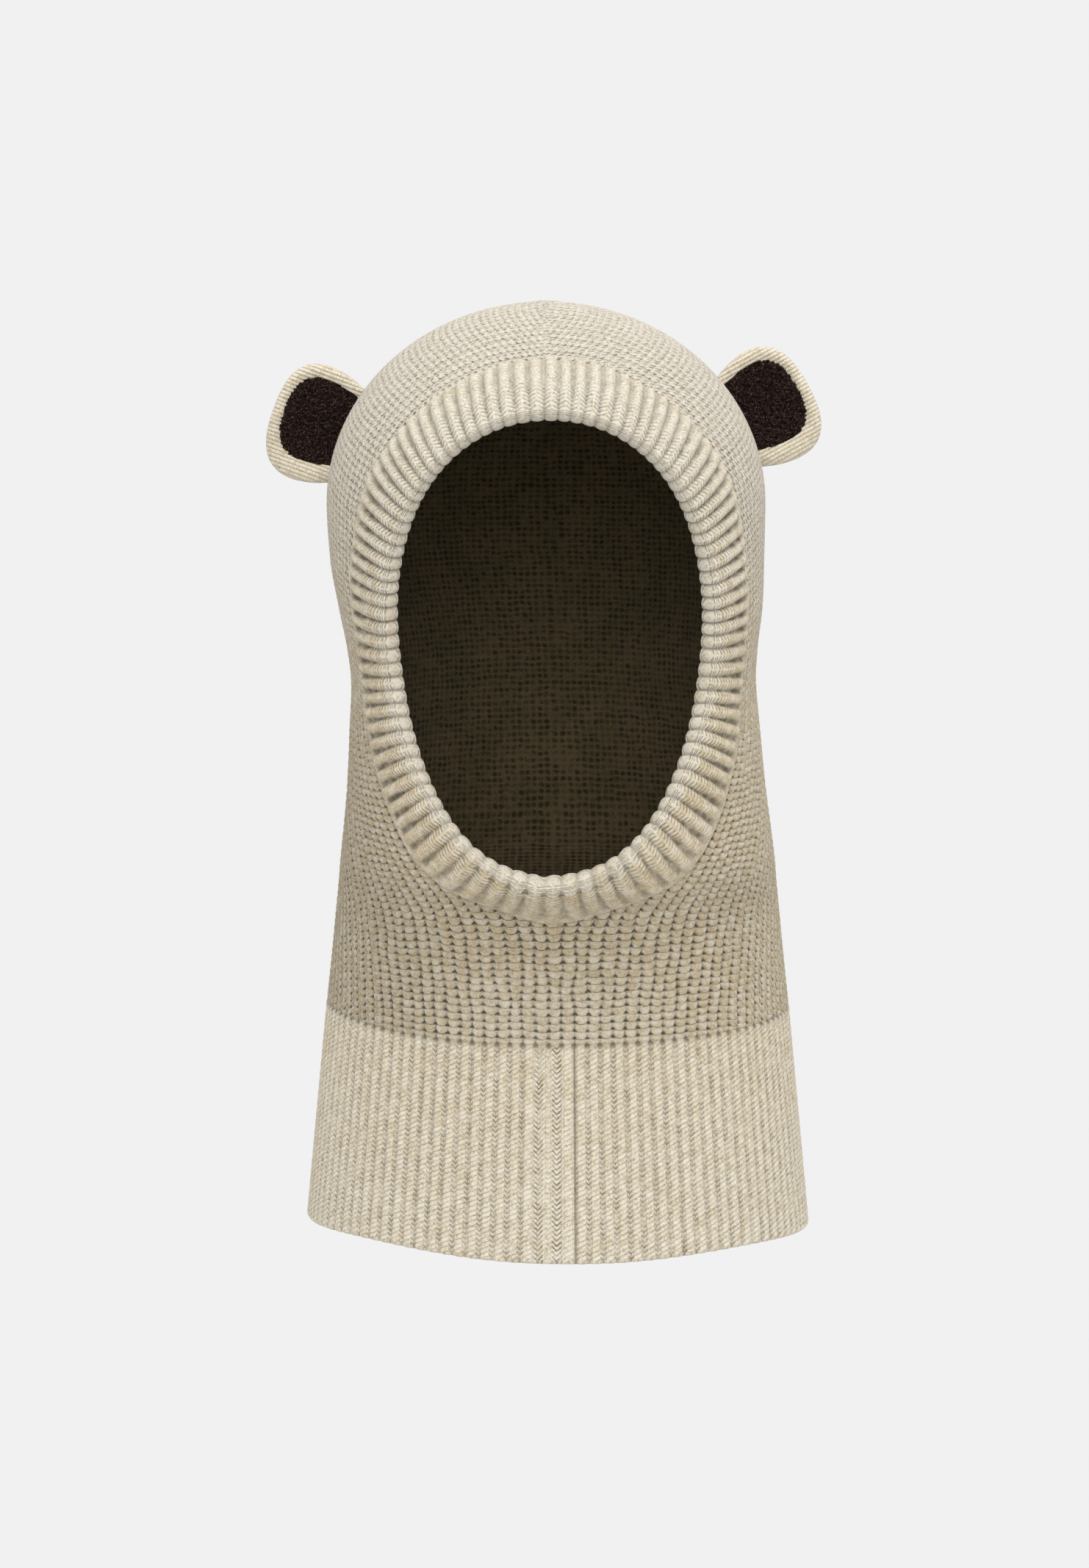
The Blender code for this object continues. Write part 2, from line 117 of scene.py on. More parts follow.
def through_rows(x, knots, values):
    """A cubic through a table's rows that never swings past them, level at the first row."""
    steps = np.diff(knots)
    slopes = np.diff(values) / steps
    tangents = np.zeros(len(knots))
    agree = slopes[:-1] * slopes[1:] > 0
    tangents[1:-1][agree] = 2 / (1 / slopes[:-1][agree] + 1 / slopes[1:][agree])
    tangents[-1] = slopes[-1]
    row = np.clip(np.searchsorted(knots, x, side="right") - 1, 0, len(steps) - 1)
    t = np.clip((x - knots[row]) / steps[row], 0, 1)
    bend = tangents[row] * t * (1 - t) ** 2 - tangents[row + 1] * t**2 * (1 - t)
    return values[row] + (values[row + 1] - values[row]) * t**2 * (3 - 2 * t) + steps[row] * bend


def ease(x, low, high):
    """0 below low, 1 above high and a smooth S between."""
    t = np.clip((x - low) / (high - low), 0, 1)
    return t * t * (3 - 2 * t)


def unit(vectors):
    """Vectors scaled to a length of 1."""
    return vectors / np.maximum(np.linalg.norm(vectors, axis=-1, keepdims=True), 1e-12)


def walked(points):
    """The length walked down each column of points, from 0 at its first point."""
    steps = np.linalg.norm(np.diff(points, axis=0), axis=-1)
    return np.concatenate([np.zeros_like(steps[:1]), np.cumsum(steps, axis=0)])


def ring_sizes(drop):
    """Half width, front depth, back depth and sideways lean of the outside at a drop."""
    height = 1 - drop / CROWN_HEIGHT
    down = (drop - CROWN_HEIGHT) / NECK_DROP
    flare = np.clip((drop - SEAM_DROP) / HEM_HEIGHT, 0, 1)
    above = drop < CROWN_HEIGHT

    def size(column, full, power, at_hem):
        neck = full * through_rows(down, NECK_ROWS[:, 0], NECK_ROWS[:, column])
        crown = full * NECK_ROWS[0, column] * dome(height, power)
        return np.where(above, crown, neck + (at_hem - neck) * flare)

    width = size(1, HEAD_WIDTH / 2, CROWN_WIDTH_POWER, HEM_WIDTH / 2)
    front = size(2, FACE_DEPTH, CROWN_FRONT_POWER, HEM_FRONT)
    back = size(3, BACK_DEPTH, CROWN_BACK_POWER, HEM_BACK)
    lean = np.where(above, 0, NECK_LEAN * through_rows(down, NECK_ROWS[:, 0], NECK_ROWS[:, 4]))
    return width, front, back, lean


def surface(angle, drop):
    """The hood's outside: at each drop a superelliptic ring, deeper at the back than in front."""
    angle, drop = np.broadcast_arrays(np.asarray(angle, float), np.asarray(drop, float))
    width, front, back, lean = ring_sizes(drop)
    sine, cosine = np.sin(angle), np.cos(angle)
    ahead = cosine > 0
    x = np.where(ahead, power_wave(sine, FRONT_POWER), power_wave(sine, BACK_POWER)) * width
    y = np.where(ahead, -front * power_wave(cosine, FRONT_POWER),
                 -back * power_wave(cosine, BACK_POWER))
    return np.stack([x + lean, y, LINED_WALL - drop], axis=-1)


def surface_normal(angle, drop):
    """Outward normals, from the cross product of the surface's two slopes over about a stitch."""
    turn, fall = 0.03, 0.002
    down = surface(angle, drop + fall) - surface(angle, drop - fall)
    across = surface(angle + turn, drop) - surface(angle - turn, drop)
    return unit(np.cross(down, across))


def lip_outline(turn):
    """Angle and drop of the band's lip: an egg, fuller above, at a turn that is 0 at its top."""
    sine, cosine = np.sin(turn), np.cos(turn)
    upper = cosine > 0
    across = np.where(upper, power_wave(sine, LIP_TOP_POWER), power_wave(sine, LIP_BOTTOM_POWER))
    rise = (LIP_WIDEST - LIP_TOP) * power_wave(cosine, LIP_TOP_POWER)
    fall = (LIP_BOTTOM - LIP_WIDEST) * power_wave(cosine, LIP_BOTTOM_POWER)
    drop = LIP_WIDEST - np.where(upper, rise, fall)
    width, _, _, lean = ring_sizes(drop)
    share = (LIP_SIDEWAYS + across * LIP_WIDTH / 2 - lean) / width
    angle = np.arcsin(np.clip(np.sign(share) * np.abs(share) ** (FRONT_POWER / 2), -1, 1))
    return angle, drop


def from_lip(turn, distance):
    """Angle and drop of the points this far outwards from the lip, measured along the surface.

    turn is a row of turns; distance may hold several rows. Distances shorten at the wearer's lower
    right.
    """
    tuck = np.maximum(-np.sin(turn), 0) * np.maximum(-np.cos(turn), 0)
    distance = np.atleast_2d(distance) * (1 - 2 * BAND_NARROWING * tuck)
    lip_angle, lip_drop = lip_outline(turn)
    reach = 1 + np.linspace(-0.2, 0.6, 60)
    angles = lip_angle * reach[:, None]
    drops = np.maximum(RIB_FAN_DROP + (lip_drop - RIB_FAN_DROP) * reach[:, None], 0)
    lengths = walked(surface(angles, drops)).T
    share = np.stack([np.interp(row + np.interp(1.0, reach, length), length, reach)
                      for row, length in zip(distance.T, lengths)], axis=1)
    return lip_angle * share, np.maximum(RIB_FAN_DROP + (lip_drop - RIB_FAN_DROP) * share, 0)


def even_turns(count, closer=0.0):
    """Turns round the face, even along the middle of the band, or closer on top by a share."""
    turns = np.linspace(0, 2 * math.pi, LOOP_SAMPLES + 1)
    length = walked(surface(*(row[0] for row in from_lip(turns, BAND_WIDTH / 2))))
    share = np.arange(count) / count
    share = share - closer * np.sin(2 * math.pi * share) / (2 * math.pi)
    return np.interp(share * length[-1], length, turns)


# ---------- meshes
def grid_mesh(name, points, uv, wrap_columns=False, wrap_rows=False, keep=None, flip=False):
    """A mesh on a grid of points, with the faces that keep picks.

    A wrapped side joins its last line to its first, and there uv has one more line than points, so
    that a pattern runs on over the join.
    """
    rows, columns = points.shape[:2]
    r, c = np.meshgrid(np.arange(rows if wrap_rows else rows - 1),
                       np.arange(columns if wrap_columns else columns - 1), indexing="ij")
    corners = [(r, c), (r + 1, c), (r + 1, c + 1), (r, c + 1)]
    if flip:
        corners.reverse()
    faces = np.stack([(i % rows) * columns + j % columns for i, j in corners], -1).reshape(-1, 4)
    face_uv = np.stack([uv[i, j] for i, j in corners], -2).reshape(-1, 4, 2)
    if keep is not None:
        faces, face_uv = faces[keep.reshape(-1)], face_uv[keep.reshape(-1)]
    used, faces = np.unique(faces, return_inverse=True)
    faces = faces.reshape(-1, 4)
    mesh = bpy.data.meshes.new(name)
    mesh.from_pydata(points.reshape(-1, 3)[used], [], faces)
    mesh.uv_layers.new(name="stitches").data.foreach_set("uv", face_uv.astype(np.float32).ravel())
    mesh.update()
    mesh.shade_smooth()
    obj = bpy.data.objects.new(name, mesh)
    bpy.context.scene.collection.objects.link(obj)
    return obj


def grid_normals(points):
    """Unit normals of a grid from the cross product of its two slopes."""
    return unit(np.cross(np.gradient(points, axis=0), np.gradient(points, axis=1)))


def dress(obj, material, slot, *nodes):
    """Gives a piece its material, parents it to the body's root and hides the solids that it stands
    for; slot is not used.
    """
    obj.data.materials.append(material)
    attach(obj, "root")
    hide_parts(*nodes)


# ---------- the face loop, for cutting and fading
LOOP_TURNS = even_turns(LOOP_SAMPLES)


def band_loop(share):
    """Angle and drop of a loop round the face, at a share of the band's width."""
    return [row[0] for row in from_lip(LOOP_TURNS, share * BAND_WIDTH)]


def from_middle(angle, drop):
    """Bearing and distance from the face's middle, where a metre of drop counts as 10 radians."""
    down = (drop - RIB_FAN_DROP) * 10
    return np.arctan2(angle, down), np.hypot(angle, down)


LOOPS = {share: from_middle(*band_loop(share)) for share in (CUT_SHARE, 1.0)}


def loop_share(angle, drop, across):
    """How far out a point is from the face's middle, as a share of the band's loop there."""
    bearing, radius = LOOPS[across]
    order = np.argsort(bearing)
    own, reach = from_middle(angle, drop)
    return reach / np.interp(own, bearing[order], radius[order], period=2 * math.pi)


def kept_faces(inside):
    """Which faces of a grid stay when those with both far corners inside the cut go."""
    return ~(inside[1:, 1:] & inside[:-1, :-1])


# ---------- hood: neck and crown
# length along the seam's ring, as a share of half of it, at angles from the front to the back
SEAM_ANGLE = np.linspace(0, math.pi, 400)
SEAM_SHARE = walked(surface(SEAM_ANGLE, SEAM_DROP))
SEAM_SHARE /= SEAM_SHARE[-1]


def column_angle(share, drop):
    """Angle of a stitch column at a drop: even round the seam's ring, swung aside past the face.

    share is -1 to 1 round the head, by length along the ring at the seam. The swing is the SWING
    table times (1 - |share|)^1.2, and the spread is a hump of |share|^1.5 times (1 - |share|)^3,
    scaled to 1 at its top, that comes in above the hem.
    """
    away = np.abs(share)
    even = np.degrees(np.interp(away, SEAM_SHARE, SEAM_ANGLE))
    swing = through_rows(drop, SWING[:, 0], SWING[:, 1]) * (1 - away) ** 1.2
    spread = SPREAD * (1 - ease(drop, 0.186, 0.240)) * away**1.5 * (1 - away) ** 3 / 0.057
    return np.sign(share) * np.radians(even + swing + spread)


def seam_drop(angle):
    """The seam between neck and hem: lowest in front and behind, higher at the sides."""
    return SEAM_DROP - (0.0041 - 0.0009 * np.sin(angle)) * np.sin(angle) ** 2


def column_share(u):
    """Which share of the way round from the front a column number is, -1 to 1."""
    return ((u - COLUMN_OFFSET) / (COLUMNS / 2) + 1) % 2 - 1


def stitch_relief(u, v, rows):
    """Height of the knit over its mean: plump columns of stitches, a hole at each one's corners.

    Across a column it is a flat-topped arch, up a stitch a steep-footed hump, and the hump's foot
    follows a smile, SMILE rows higher at the column's edges. At the sides, back and crown every
    second column is shifted by half a row. rows is the share of the stitches' own relief.
    """
    a = u - np.round(u)
    shifted = np.maximum(ease(np.abs(u), STAGGER_FROM, STAGGER_TO),
                         ease(v, STAGGER_LOW, STAGGER_HIGH))
    b = (v + STAGGER * (np.round(u) % 2) * shifted - SMILE * (2 * a) ** 2) % 1
    rows = rows * (1 - 0.5 * shifted)
    column = np.clip(1 - (2 * a) ** 4, 0, 1) ** 0.6
    stitch = np.sin(math.pi * b**0.8) ** 0.9
    hole = np.exp(-(((np.abs(a) - 0.5) / 0.16) ** 2) - (((b + 0.5) % 1 - 0.5) / 0.22) ** 2)
    own = ROW_RELIEF * (stitch - 0.6) * column - DIMPLE * hole
    return COLUMN_RELIEF * (column - 0.75) + rows * own


def wander(u, v, seed):
    """How stitches stray, about -1 to 1: slanted sine waves, a whole number round the hood."""
    rng = np.random.default_rng(seed)
    total = np.zeros(np.broadcast(u, v).shape)
    for _ in range(9):
        turns, pace = rng.integers(8, 36), rng.uniform(-1.3, 1.3)
        start = rng.uniform(0, 2 * math.pi)
        total += np.sin(2 * math.pi * turns * u / COLUMNS + pace * v + start)
    return total / 4


def fade_at_band(angle, drop):
    """0 under the band and 1 just outside it."""
    return ease(loop_share(angle, drop, 1.0), 0.965, 1.015)


def make_neck(name, first, last, material):
    """The knit between two columns, from the widest ring to the seam, raised by stitch_relief."""
    u = np.linspace(first, last, int(round((last - first) * COLUMN_SAMPLES)) + 1)
    rows = int(round(NECK_DROP / STITCH_ROW))
    v = np.linspace(0, rows, rows * ROW_SAMPLES + 1)
    uu, vv = np.meshgrid(u, v)
    share = column_share(uu)
    seam = seam_drop(column_angle(share, np.full_like(uu, SEAM_DROP)))
    loose = ease(vv, 0, 3) * (1 - ease(vv, rows - 5, rows))
    drop = seam - vv / rows * (seam - CROWN_HEIGHT) + STRAY_DOWN * loose * wander(uu, vv, 3)
    angle = column_angle(share, drop) + STRAY_ROUND * loose * wander(uu, vv, 5)
    # the stitches stand out more on the lower neck, and sink at the seam and under the band
    low = ease(drop, 0.070, 0.165)
    fade = fade_at_band(angle, drop)
    relief = stitch_relief(uu, vv, 0.4 + 0.6 * low) * (0.8 + 0.2 * low)
    height = relief * fade - UNDER_BAND * (1 - fade) - SEAM_LAP * (1 - ease(vv, 0, 0.7))
    points = surface(angle, drop) + height[..., None] * surface_normal(angle, drop)
    step = np.abs(np.diff(angle, axis=1))[1:]
    whole = np.minimum(step, 2 * math.pi - step) < 0.1
    keep = kept_faces(loop_share(angle, drop, CUT_SHARE) < 1) & whole
    obj = grid_mesh(name, points, np.stack([uu, vv], -1), keep=keep, flip=True)
    dress(obj, material, "beige_knit", "hood_knit")


def crown_radius(theta, y):
    """Distance from the dome's long axis to its outside, along an elevation, by halving."""
    near, far = np.zeros_like(y), np.full_like(y, 0.09)
    for _ in range(40):
        radius = (near + far) / 2
        x, height = radius * np.cos(theta), radius * np.sin(theta) / CROWN_HEIGHT
        front = FACE_DEPTH * NECK_ROWS[0, 2] * dome(height, CROWN_FRONT_POWER)
        back = BACK_DEPTH * dome(height, CROWN_BACK_POWER)
        width = HEAD_WIDTH / 2 * dome(height, CROWN_WIDTH_POWER)
        depth = np.where(y < 0, front, back)
        power = np.where(y < 0, FRONT_POWER, BACK_POWER)
        level = (x / np.maximum(width, 1e-9)) ** power
        level = level + (np.abs(y) / np.maximum(depth, 1e-9)) ** power
        inside = (level < 1) & (height < 1)
        near, far = np.where(inside, radius, near), np.where(inside, far, radius)
    return near


def make_crown(name, side, material):
    """Half of the crown: columns rise from the neck and arch over the head to a seam on top.

    Rows lie in half planes through the dome's long axis, at elevations from 0 to 90 degrees.
    A column keeps its share of the way from the face band to the back of the head.
    """
    half, samples, levels = COLUMNS // 2, 4, 139
    share = np.linspace(1e-6, 1, half * samples + 1)
    theta = np.linspace(0, math.pi / 2, levels)[:, None]
    level = np.full_like(share, CROWN_HEIGHT)
    start_y = surface(column_angle(share, level), level)[:, 1]
    # where the rows start on the face band and end at the back
    loop = surface(*band_loop(0.6))
    rise = np.arctan2(loop[:, 2] - LINED_WALL + CROWN_HEIGHT, np.abs(loop[:, 0]))
    upper = (loop[:, 0] * side > 0) & (rise > 0)
    order = np.argsort(rise[upper])
    band_y = np.interp(theta, rise[upper][order], loop[upper, 1][order])
    band_y = band_y + (start_y[0] - band_y[0]) * (1 - ease(theta, 0, 0.6))
    back_y = BACK_DEPTH * 0.99999
    along = (np.minimum(start_y, back_y) - start_y[0]) / (back_y - start_y[0])
    y = band_y + along * (back_y - band_y)
    theta = np.broadcast_to(theta, y.shape)
    radius = crown_radius(theta, y)
    radius[:, -1] = 0
    away, up = radius * np.cos(theta), radius * np.sin(theta)
    smooth = np.stack([side * away, y, LINED_WALL - CROWN_HEIGHT + up], -1)
    normal = grid_normals(smooth) * -side
    normal[:, -1] = (0, 1, 0)
    u = np.broadcast_to(side * share * half + COLUMN_OFFSET, y.shape)
    v = walked(smooth) / STITCH_ROW + round(NECK_DROP / STITCH_ROW)
    drop = LINED_WALL - smooth[..., 2]
    width, front, _, _ = ring_sizes(np.minimum(drop, CROWN_HEIGHT - 1e-6))
    sine = (away / np.maximum(width, 1e-6)) ** (FRONT_POWER / 2)
    cosine = np.sign(-y) * (np.abs(y) / np.maximum(front, 1e-6)) ** (FRONT_POWER / 2)
    angle = np.arctan2(side * sine, cosine)
    fade = fade_at_band(angle, drop)
    # the seam on top is a low bead of uneven stitches
    bead = 0.7 + 0.3 * np.sin(y * 1900 + 2 * np.sin(y * 700))
    seam = 0.0005 * np.exp(-(away / 0.0045) ** 2) * bead
    relief = stitch_relief(u, v, 0.6) * 0.7 * ease(away, 0.0005, 0.003)
    points = smooth + ((relief + seam) * fade - UNDER_BAND * (1 - fade))[..., None] * normal
    points[-1, :, 0] = 0
    keep = kept_faces(loop_share(angle, drop, CUT_SHARE) < 1)
    obj = grid_mesh(name, points, np.stack([u, v], -1), keep=keep, flip=side > 0)
    dress(obj, material, "beige_knit", "hood_knit")


# ---------- the face band
def make_band(material):
    """The folded rib band: a rounded section carried round the lip, ribs across it.

    Going out from the lip the section rolls over the edge, swells, and runs out smooth. A rib's
    height is 1 - (2a)^2 of its phase a, to a power of 0.5 at the lip and 0.9 further out, and the
    phase drifts with the distance from the lip. Each rib ends in a knob at the lip. On top the ribs
    run on to the band's outer edge and bulge there. They fade where the band is joined.
    """
    samples, lines = 10, 94
    turns = even_turns(BAND_RIBS * samples, closer=0.16)
    turns = turns + sum(size * np.sin(waves * turns + start) for size, waves, start in UNEVEN_RIBS)
    number = np.arange(BAND_RIBS * samples + 1) / samples
    # across as a share of the width, height over the surface, share of the ribs below and on top
    section = np.array((
        (0.12, -0.0046, 0, 0), (0.045, -0.0044, 0, 0), (0.012, -0.0028, 0, 0),
        (0.000, -0.0010, 0.1, 0.1), (0.006, 0.0006, 0.35, 0.35), (0.028, 0.0017, 0.65, 0.6),
        (0.060, 0.0022, 0.8, 0.7), (0.10, 0.0024, 0.8, 0.75), (0.155, 0.0026, 0.8, 0.8),
        (0.25, 0.0028, 0.9, 0.9), (0.42, 0.0029, 1.0, 1.0), (0.60, 0.0027, 1.0, 1.0),
        (0.76, 0.0023, 0.95, 1.0), (0.84, 0.0019, 0.75, 1.0), (0.89, 0.0016, 0.45, 0.95),
        (0.93, 0.0013, 0.15, 0.85), (0.965, 0.0009, 0, 0.7), (0.99, 0.0003, 0, 0.4),
        (1.00, -0.0006, 0, 0.1), (0.99, -0.0022, 0, 0),
    ))
    knots = np.linspace(0, 1, len(section))
    # a smooth curve through the section's rows, at even steps of its own length
    dense = np.linspace(0, 1, 1200)
    length = walked(np.stack([smooth_through(dense, knots, section[:, 0]) * BAND_WIDTH,
                              smooth_through(dense, knots, section[:, 1])], -1))
    spots = np.interp(np.linspace(0, length[-1], lines), length, dense)
    curves = (smooth_through(spots, knots, column)[:, None] for column in section.T)
    across, height, rib_below, rib_above = curves
    angle_round = np.append(turns, turns[0])
    phase = number - 1.1 * np.sin(2 * angle_round) * np.clip(across, 0, 1)
    a = phase - np.round(phase)
    ridge = np.clip(1 - (2 * a) ** 2, 0, 1) ** (0.5 + 0.4 * ease(across, 0.25, 0.6)) - 0.62
    on_top = ease(np.cos(angle_round), 0.2, 0.75)
    seam = np.exp(-(((angle_round - BAND_SEAM) / 0.035) ** 2))
    rib = (rib_below + (rib_above - rib_below) * on_top) * (1 - 0.7 * seam)
    run = np.clip(across, 0, 1) * BAND_ROWS - LIP_ROWS * (1 - ease(across, 0, LIP_ROLL))
    stitch = np.abs(np.sin(math.pi * (run + np.abs(a) * V_SLANT)))
    deep = 1 - 0.35 * (0.5 - 0.5 * np.cos(angle_round)) ** 6
    relief = rib * (0.0018 * ridge * deep + 0.0004 * (stitch - 0.6) * (1 - np.abs(2 * a)))
    knob = (0.060 - 0.024 * on_top) * ridge * (1 - seam) - 0.03 * seam
    bulge = 0.020 * ridge * on_top * ease(across, 0.84, 0.97)
    reach = (across - knob * ease(-across, -0.13, -0.02) + bulge) * BAND_WIDTH
    angle, drop = from_lip(turns, reach[:, :-1])
    # the surface's normals, evened out over five ribs
    normals = surface_normal(angle, drop)
    normals = unit(sum(np.roll(normals, step * samples // 2, axis=1) for step in range(-5, 6)))
    points = surface(angle, drop) + (height + relief)[:, :-1, None] * normals
    uv = np.stack([phase, np.broadcast_to(across * BAND_ROWS, phase.shape)], -1)
    uv = np.concatenate([uv, uv[:1]])
    obj = grid_mesh("face_rib_band", points, uv, wrap_columns=True, wrap_rows=True, flip=True)
    dress(obj, material, "beige_knit", "face_band")


def smooth_through(x, knots, values):
    """Catmull-Rom curve through the values."""
    slopes = np.gradient(values, knots)
    row = np.clip(np.searchsorted(knots, x, side="right") - 1, 0, len(knots) - 2)
    step = knots[row + 1] - knots[row]
    t = (x - knots[row]) / step
    return ((1 + 2 * t) * (1 - t) ** 2 * values[row] + t * (1 - t) ** 2 * step * slopes[row]
            + t**2 * (3 - 2 * t) * values[row + 1] - t**2 * (1 - t) * step * slopes[row + 1])


# ---------- the hem
HEM_ROW = 0.0016  # height of a row
HEM_ROLL = 0.0011  # how far the lower edge is rounded off
MIDDLE = (-2.1, 1.45)  # the smoother columns in the middle of the front
CHAINS = (-1.25, 0.15)  # where the V stitches run there


def make_hem(material):
    """The ribbed hem, a closed section carried round the neck.

    Each column is a string of plump beads, and between two columns lies a groove with slanting
    stitches: the beads are half circles of |a| below 0.38, and beyond 0.28 a zigzag of v and |a|
    comes in. In the middle of the front lie smoother columns with two chains.
    """
    samples = 8
    u = np.arange(COLUMNS * samples + 1) / samples - COLUMNS / 2
    share = column_share(u)
    angle = column_angle(share, np.full_like(share, SEAM_DROP))
    bottom = SEAM_DROP + HEM_HEIGHT + HEM_TILT * np.sin(angle) - HEM_WAVE * np.sin(2 * angle) ** 2
    top = seam_drop(angle) - SEAM_LAP
    rows = int(round(HEM_HEIGHT / HEM_ROW))
    fine = np.linspace(0, 1, rows * 2 + 1)[1:]
    roll = np.linspace(0, math.pi, 9)[1:]
    # down the outside, round the bottom, up the inside, and back to the top
    even, none = np.ones_like(fine), np.zeros(5)
    down = np.concatenate([[-0.004, 0.0], fine, np.ones_like(roll), [0.75, 0.5, 0.25, 0.0, -0.004]])
    depth = np.concatenate([[0.0025, 0.0004], 0 * even, HEM_WALL / 2 * (1 - np.cos(roll)),
                            none + HEM_WALL])
    below = np.concatenate([[0, 0], 0 * even, HEM_ROLL * np.sin(roll), none])
    outside = np.concatenate([[0.0, 0.6], even, np.linspace(1, 0, len(roll)), none])
    drop = top + down[:, None] * (bottom - HEM_ROLL - top) + below[:, None]
    a = u - np.round(u)
    v = down[:, None] * rows * np.ones(len(u))
    bead = np.sqrt(np.clip(1 - (np.abs(a) / 0.38) ** 2, 0, 1))
    plump = np.abs(np.sin(math.pi * (v / 2 + 0.2 * a)))
    slant = np.sin(2 * math.pi * (v - 3 * np.abs(a)))
    groove = ease(np.abs(a), 0.28, 0.36)
    left, right = MIDDLE
    middle = ease(u, left - 0.1, left + 0.1) * (1 - ease(u, right - 0.1, right + 0.05))
    chain = sum(np.exp(-(((u - place) / 0.22) ** 2)) for place in CHAINS)
    ribbed = 0.0008 * bead * (0.8 + 0.2 * plump) - 0.0005 + 0.00015 * groove * slant
    relief = ribbed * (1 - middle) - 0.00035 * chain * middle
    seam = 0.0001 * np.exp(-(((v - 0.7) / 0.8) ** 2)) * np.cos(math.pi * a) ** 2
    total = outside[:, None] * (relief + seam) - depth[:, None]
    angles = np.broadcast_to(angle, drop.shape)
    normal = surface_normal(angles, np.maximum(drop, SEAM_DROP + 0.002))
    normal[..., 2] = 0
    points = (surface(angles, drop) + total[..., None] * unit(normal))[:, :-1]
    uv = np.stack([np.broadcast_to(u, v.shape), v], -1)
    uv = np.concatenate([uv, uv[:1]])
    obj = grid_mesh("hem_rib", points, uv, wrap_columns=True, wrap_rows=True)
    dress(obj, material, "beige_knit", "hem_band")


# ---------- the lining
def make_lining(material):
    """The inside in dark painted shade: the hood's surface moved inwards, with a wall and a low
    seam behind.
    """
    u = np.linspace(0, 180, 301)
    crown = CROWN_HEIGHT * (1 - np.cos(np.linspace(0, math.pi / 2, 45)))
    neck = np.linspace(CROWN_HEIGHT, SEAM_DROP - 0.0005, 82)
    angle, drop = np.meshgrid(np.radians(u * 2 - 180), np.concatenate([crown[1:], neck[1:]]))
    normal = surface_normal(angle, np.maximum(drop, 0.0025))
    seam = 0.0006 * np.exp(-((np.abs(angle) - math.pi) / 0.02) ** 2)
    points = surface(angle, drop) - (LINED_WALL + seam)[..., None] * normal
    rows = walked(points[:, len(u) // 2]) / LINING_ROW
    uv = np.stack(np.meshgrid(u, rows), -1)
    keep = kept_faces(loop_share(angle, drop, CUT_SHARE) < 1.03)
    obj = grid_mesh("lining_inside", points[:, :-1], uv, wrap_columns=True, keep=keep)
    wall = obj.modifiers.new("wall", "SOLIDIFY")
    wall.thickness, wall.offset = LINING_WALL, -1
    # the inside is coloured dark as painted shade
    dress(obj, material, "olive_brown_lining", "lining_knit")


# ---------- the ears
def ear_place(side, drop, tilt):
    """Root point on the hood, and the ear's outward, upward and forward directions."""
    root = surface(side * math.pi / 2, drop)
    lift = math.radians(tilt)
    outward = np.array([side * math.cos(lift), 0, math.sin(lift)])
    upward = np.array([-side * math.sin(lift), 0, math.cos(lift)])
    return root, outward, upward, np.array([0, -1.0, 0])


def ear_outline(turns, half_width, reach):
    """Outward and upward distances of a superellipse that runs into the head below."""
    out = power_wave(np.sin(turns), EAR_POWER)
    out = out * np.where(out > 0, reach - EAR_SHOULDER, EAR_ROOT + EAR_SHOULDER)
    narrowing = 1 - EAR_BASE_NARROWING * np.clip(-out / EAR_SHOULDER, 0, 1)
    return EAR_SHOULDER + out, power_wave(np.cos(turns), EAR_POWER) * half_width * narrowing


def within_wall(points, side, deepest=0.0028):
    """Points moved sideways, so that none lies further than deepest inside the hood's outside."""
    y, drop = points[..., 1], LINED_WALL - points[..., 2]
    width, front, back, lean = ring_sizes(drop)
    power = np.where(y < 0, FRONT_POWER, BACK_POWER)
    share = np.clip(np.abs(y) / np.where(y < 0, front, back), 0, 1)
    wall = width * (1 - share**power) ** (1 / power) + side * lean - deepest
    moved = points.copy()
    moved[..., 0] = side * np.maximum(side * points[..., 0], wall)
    return moved


